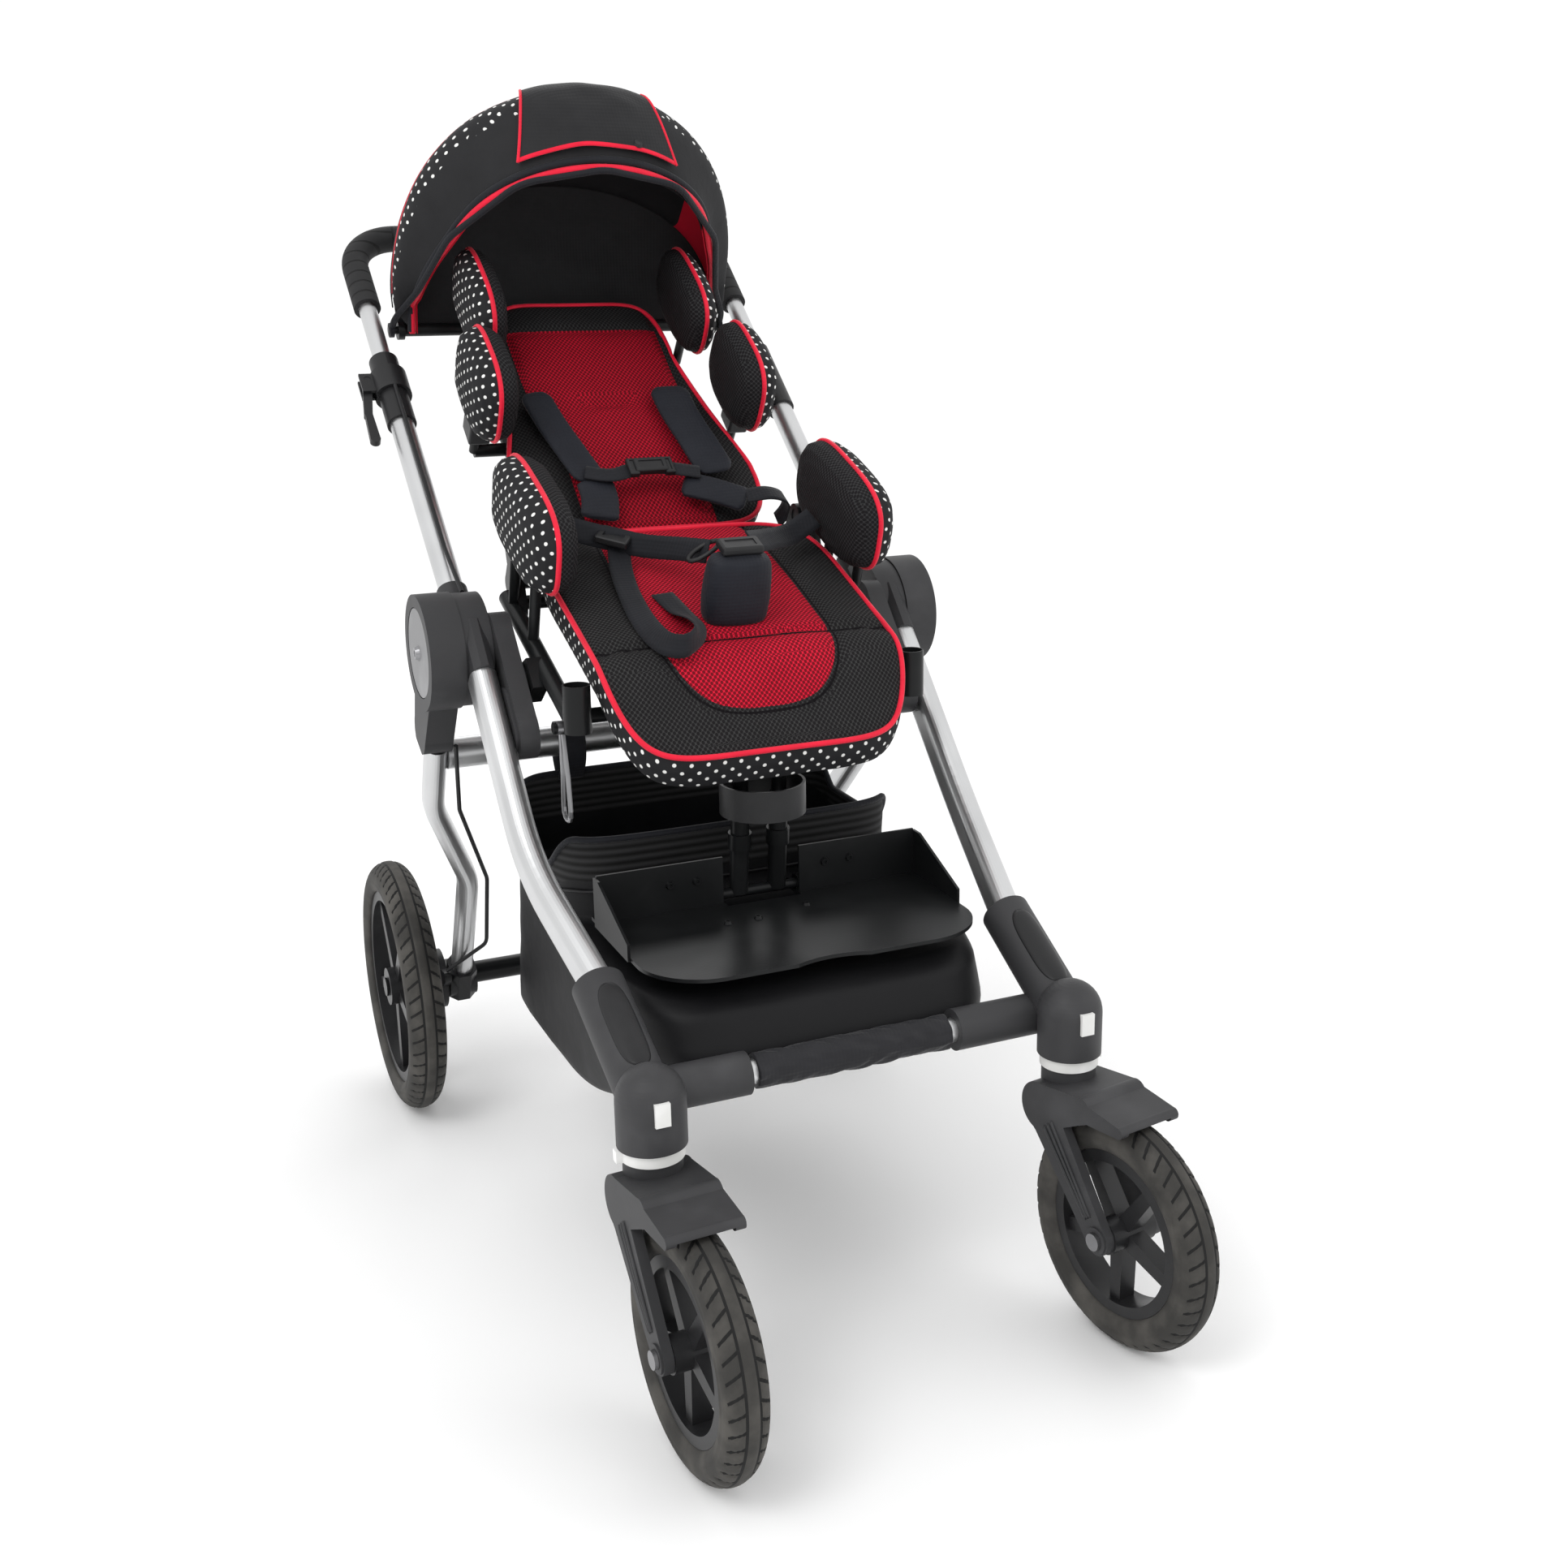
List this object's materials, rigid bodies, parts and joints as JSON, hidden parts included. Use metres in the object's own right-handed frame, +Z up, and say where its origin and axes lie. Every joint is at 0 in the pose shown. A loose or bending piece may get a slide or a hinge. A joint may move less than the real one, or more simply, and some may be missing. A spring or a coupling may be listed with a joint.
{
  "type": "special needs buggy",
  "caption": "Special needs buggy with folding base, caster front wheels, tilting and reclining padded seat, footplate, hood, push handle and under-seat basket.",
  "frame": {"origin": "on the floor below the middle of the buggy's outer box", "axes": "+Z up, -Y to the front where the rider's feet are, +X to the rider's left"},
  "size_m": [0.638, 1.2898, 1.2577],
  "materials": {
    "silver_tube": "satin",
    "grey_plastic": "matte",
    "black_plastic": "satin",
    "white_plastic": "satin",
    "tyre_rubber": "matte",
    "grip_rubber": "matte",
    "black_fabric": "woven",
    "cushion_mesh": "spacer mesh",
    "dotted_fabric": "woven with pale dots",
    "black_leathercloth": "satin",
    "black_paint": "satin",
    "light_cap": "satin",
    "steel_wire": "satin"
  },
  "bodies": {
    "chassis": {"left_front_leg": "silver_tube", "right_front_leg": "silver_tube", "left_knuckle": "grey_plastic", "right_knuckle": "grey_plastic", "front_cross_tube": "silver_tube", "cross_tube_sleeve": "black_fabric", "left_fold_hub": "grey_plastic", "right_fold_hub": "grey_plastic", "seat_docks": "grey_plastic", "handle_tubes": "silver_tube", "handle_sleeves": "black_plastic", "brake_clamp": "black_plastic", "brake_cable": "grip_rubber", "basket": "black_fabric"},
    "rear_frame": {"left_rear_leg": "silver_tube", "right_rear_leg": "silver_tube", "rear_cross_tube": "silver_tube", "rear_axle": "black_paint", "axle_brackets": "black_plastic", "left_hub_drum": "grey_plastic", "right_hub_drum": "grey_plastic", "hub_caps": "light_cap", "brake_drums": "black_plastic", "rear_cable": "grip_rubber"},
    "left_rear_wheel": {"left_rear_tyre": "tyre_rubber", "left_rear_rim": "black_plastic"},
    "right_rear_wheel": {"right_rear_tyre": "tyre_rubber", "right_rear_rim": "black_plastic"},
    "left_caster": {"left_fork": "grey_plastic", "left_wheel_bolt": "steel_wire"},
    "right_caster": {"right_fork": "grey_plastic", "right_wheel_bolt": "steel_wire"},
    "left_front_wheel": {"left_front_tyre": "tyre_rubber", "left_front_rim": "black_plastic"},
    "right_front_wheel": {"right_front_tyre": "tyre_rubber", "right_front_rim": "black_plastic"},
    "left_release": {"left_button": "white_plastic"},
    "right_release": {"right_button": "white_plastic"},
    "left_lock": {"left_lock_ring": "white_plastic"},
    "right_lock": {"right_lock_ring": "white_plastic"},
    "handle": {"handle_bar": "silver_tube", "handle_grip": "grip_rubber"},
    "lever": {"brake_lever": "black_plastic"},
    "seat": {"seat_frame": "black_paint", "seat_pan": "black_paint", "seat_cushion": "cushion_mesh", "left_hip_pad": "dotted_fabric", "right_hip_pad": "dotted_fabric", "pommel": "black_leathercloth", "calf_ring": "black_plastic"},
    "loop": {"tilt_loop": "steel_wire"},
    "footrest": {"footrest_tubes": "black_paint"},
    "footplate": {"footplate": "black_paint"},
    "back": {"back_frame": "black_paint", "back_cushion": "cushion_mesh", "left_thoracic_pad": "dotted_fabric", "right_thoracic_pad": "dotted_fabric", "headrest": "dotted_fabric", "canopy": "black_fabric"},
    "hood": {"hood_bow": "steel_wire"}
  },
  "joints": [
    {"name": "left_caster_swivel", "type": "hinge", "parent": "chassis", "child": "left_caster", "pos_m": [0.223, -0.43, 0.3], "axis": [0, 0, 1], "continuous": true},
    {"name": "left_front_wheel_spin", "type": "hinge", "parent": "left_caster", "child": "left_front_wheel", "pos_m": [0.23849, -0.51967, 0.124], "axis": [0.9854, 0.1702, 0], "continuous": true},
    {"name": "left_rear_wheel_spin", "type": "hinge", "parent": "rear_frame", "child": "left_rear_wheel", "pos_m": [0.296, 0.356, 0.16], "axis": [1, 0, 0], "continuous": true},
    {"name": "left_swivel_lock", "type": "hinge", "parent": "chassis", "child": "left_lock", "pos_m": [0.223, -0.43, 0.28], "axis": [0, 0, 1], "range_deg": [0, 60]},
    {"name": "left_lock_button", "type": "slide", "parent": "chassis", "child": "left_release", "axis": [0, 1, 0], "range_m": [0, 0.003], "stiffness_N_per_m": 500},
    {"name": "right_caster_swivel", "type": "hinge", "parent": "chassis", "child": "right_caster", "pos_m": [-0.223, -0.43, 0.3], "axis": [0, 0, 1], "continuous": true},
    {"name": "right_front_wheel_spin", "type": "hinge", "parent": "right_caster", "child": "right_front_wheel", "pos_m": [-0.21792, -0.52086, 0.124], "axis": [0.9984, 0.0558, 0], "continuous": true},
    {"name": "right_rear_wheel_spin", "type": "hinge", "parent": "rear_frame", "child": "right_rear_wheel", "pos_m": [-0.296, 0.356, 0.16], "axis": [1, 0, 0], "continuous": true},
    {"name": "right_swivel_lock", "type": "hinge", "parent": "chassis", "child": "right_lock", "pos_m": [-0.223, -0.43, 0.28], "axis": [0, 0, 1], "range_deg": [0, 60]},
    {"name": "right_lock_button", "type": "slide", "parent": "chassis", "child": "right_release", "axis": [0, 1, 0], "range_m": [0, 0.003], "stiffness_N_per_m": 500},
    {"name": "base_fold", "type": "hinge", "parent": "chassis", "child": "rear_frame", "pos_m": [0, 0.084, 0.65], "axis": [-1, 0, 0], "range_deg": [0, 40], "deforming": ["basket"]},
    {"name": "handle_height", "type": "slide", "parent": "chassis", "child": "handle", "axis": [0, 0.7826, 0.6225], "range_m": [0, 0.09]},
    {"name": "brake_lever_pull", "type": "hinge", "parent": "chassis", "child": "lever", "pos_m": [-0.272, 0.41661, 0.91457], "axis": [0, -0.6225, 0.7826], "range_deg": [0, 6], "stiffness_Nm_per_rad": 1.5},
    {"name": "seat_tilt", "type": "hinge", "parent": "chassis", "child": "seat", "pos_m": [0, 0, 0.625], "axis": [-1, 0, 0], "range_deg": [0, 25]},
    {"name": "back_recline", "type": "hinge", "parent": "seat", "child": "back", "pos_m": [0, 0.125, 0.765], "axis": [1, 0, 0], "range_deg": [0, 45]},
    {"name": "hood_fold", "type": "hinge", "parent": "back", "child": "hood", "pos_m": [0, 0.51445, 0.97256], "axis": [-1, 0, 0], "range_deg": [0, 30], "deforming": ["canopy"]},
    {"name": "footrest_height", "type": "slide", "parent": "seat", "child": "footrest", "axis": [0, -0.1045, 0.9945], "range_m": [0, 0.04]},
    {"name": "footplate_flip", "type": "hinge", "parent": "footrest", "child": "footplate", "pos_m": [0, -0.141, 0.404], "axis": [-1, 0, 0], "range_deg": [0, 40]},
    {"name": "tilt_loop_swing", "type": "hinge", "parent": "seat", "child": "loop", "pos_m": [-0.197, -0.1, 0.598], "axis": [-1, 0, 0], "range_deg": [-20, 45]}
  ]
}
